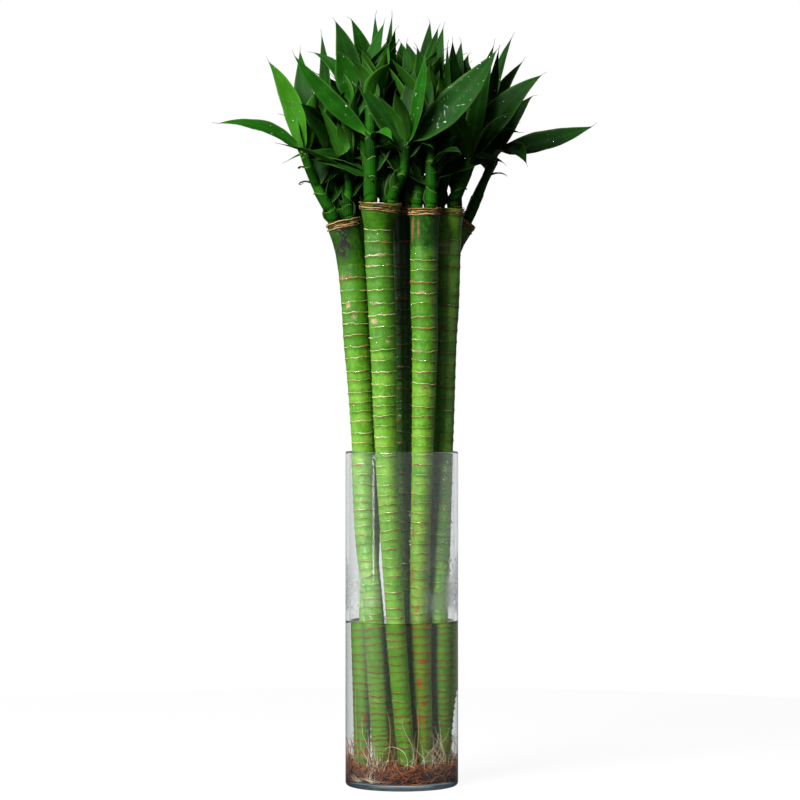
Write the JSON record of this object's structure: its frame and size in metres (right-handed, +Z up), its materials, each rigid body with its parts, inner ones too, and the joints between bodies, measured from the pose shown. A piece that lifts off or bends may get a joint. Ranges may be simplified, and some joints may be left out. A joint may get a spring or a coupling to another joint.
{
  "type": "lucky bamboo in a glass vase",
  "caption": "Upright bundle of thick green ring-scarred lucky bamboo canes with lance-leaved shoots, standing on their roots in the water of a straight clear glass cylinder vase.",
  "frame": {"origin": "centre of the vase's foot, on the surface it stands on", "axes": "+Z up along the vase, -Y towards the viewer of the picture, +X to the viewer's right"},
  "size_m": [0.3416, 0.2113, 0.6885],
  "materials": {
    "clear_glass": "polished clear glass",
    "water": "still clear water",
    "roots": "wet fibrous orange-brown roots",
    "cane": "smooth waxy green rind with tan ring scars",
    "dry_sheath": "dry papery torn sheath",
    "leaf": "glossy deep green leaf with parallel veins"
  },
  "bodies": {
    "root": {"cane_a": "cane", "cane_b": "cane", "cane_c": "cane", "cane_d": "cane", "cane_e": "cane", "cane_f": "cane", "cane_g": "cane", "cane_h": "cane", "collar_a": "dry_sheath", "collar_b": "dry_sheath", "collar_c": "dry_sheath", "collar_d": "dry_sheath", "collar_e": "dry_sheath", "collar_f": "dry_sheath", "collar_g": "dry_sheath", "collar_h": "dry_sheath", "root_mat": "roots", "shoot_a1": "leaf", "shoot_a2": "leaf", "shoot_a3": "leaf", "shoot_b1": "leaf", "shoot_b2": "leaf", "shoot_b3": "leaf", "shoot_b4": "leaf", "shoot_c1": "leaf", "shoot_c2": "leaf", "shoot_c3": "leaf", "shoot_d1": "leaf", "shoot_d2": "leaf", "shoot_d3": "leaf", "shoot_e1": "leaf", "shoot_e2": "leaf", "shoot_e3": "leaf", "shoot_f1": "leaf", "shoot_f2": "leaf", "shoot_f3": "leaf", "shoot_g1": "leaf", "shoot_g2": "leaf", "shoot_g3": "leaf", "shoot_h1": "leaf", "shoot_h2": "leaf", "shoot_h3": "leaf", "vase": "clear_glass", "water": "water"}
  },
  "joints": []
}
